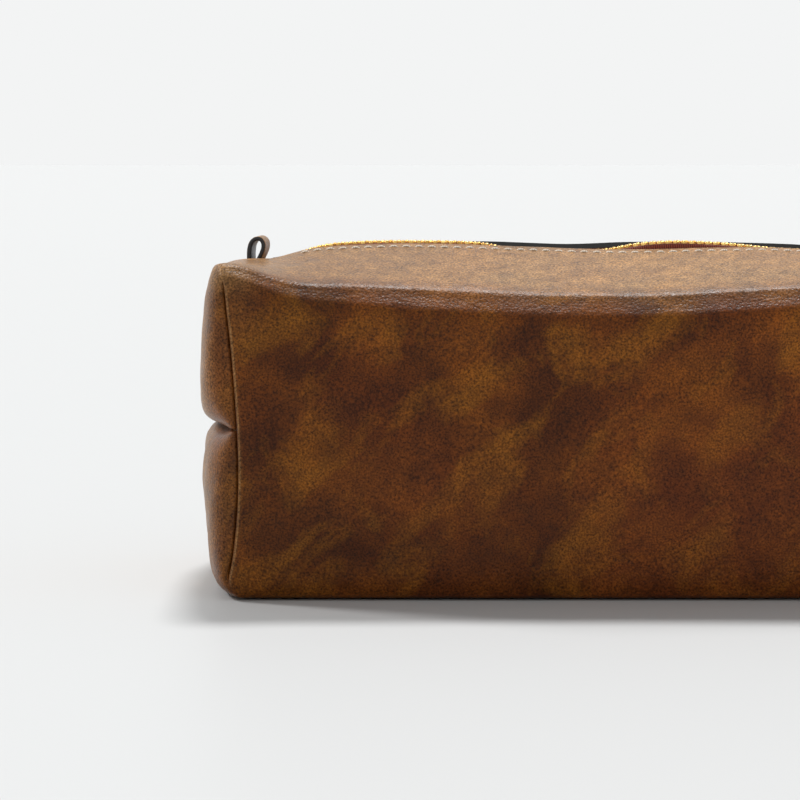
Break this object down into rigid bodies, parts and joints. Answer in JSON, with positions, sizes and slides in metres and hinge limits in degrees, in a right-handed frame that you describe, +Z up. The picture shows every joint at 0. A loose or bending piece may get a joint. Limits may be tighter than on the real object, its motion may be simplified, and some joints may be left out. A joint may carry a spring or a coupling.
{
  "type": "shaving kit bag",
  "caption": "Boxy brown leather shaving kit bag with sewn pillow ends, a brass zipper along its top, topstitched lips and leather loop tabs.",
  "frame": {"origin": "middle of the base, on the surface the bag stands on", "axes": "+X along the zipper from the left end to the right end, -Y out of the front wall, +Z up"},
  "size_m": [0.2406, 0.115, 0.1084],
  "materials": {
    "leather": "oiled pull-up leather, mottled brown, satin",
    "loop_leather": "brown leather strap with black inked edges",
    "zipper_tape": "woven rust brown tape",
    "brass": "polished brass",
    "thread": "waxed cream thread"
  },
  "bodies": {
    "body": {"base_panel": "leather", "left_end_upper": "leather", "left_end_lower": "leather", "right_end_upper": "leather", "right_end_lower": "leather", "left_loop_tab": "loop_leather", "right_loop_tab": "loop_leather", "left_tab_stitches": "thread", "right_tab_stitches": "thread", "left_end_seam_thread": "thread", "right_end_seam_thread": "thread", "top_stops": "brass", "bottom_stop": "brass"},
    "front_half": {"front_wall": "leather", "front_lip": "leather", "zipper_tape_front": "zipper_tape", "teeth_front": "brass", "topstitch_front": "thread"},
    "back_half": {"back_wall": "leather", "back_lip": "leather", "zipper_tape_back": "zipper_tape", "teeth_back": "brass", "topstitch_back": "thread"},
    "slider": {"slider_body": "brass", "slider_bridge": "brass"},
    "pull": {"pull_tab": "brass"}
  },
  "joints": [
    {"name": "slider_travel", "type": "slide", "parent": "body", "child": "slider", "axis": [-1, 0, 0], "range_m": [0, 0.172], "deforming": ["zipper_tape_front", "zipper_tape_back", "teeth_front", "teeth_back"]},
    {"name": "front_half_open", "type": "hinge", "parent": "body", "child": "front_half", "pos_m": [0, -0.05017, 0.0008], "axis": [1, 0, 0], "range_deg": [0, 16]},
    {"name": "back_half_open", "type": "hinge", "parent": "body", "child": "back_half", "pos_m": [0, 0.05017, 0.0008], "axis": [-1, 0, 0], "range_deg": [0, 16]},
    {"name": "pull_flip", "type": "hinge", "parent": "slider", "child": "pull", "pos_m": [0.091, 0, 0.10645], "axis": [0, 1, 0], "range_deg": [0, 150]}
  ],
  "couplings": [
    {"joint": "front_half_open", "follows": "slider_travel", "rad_per_m": 1.62},
    {"joint": "back_half_open", "follows": "slider_travel", "rad_per_m": 1.62}
  ]
}
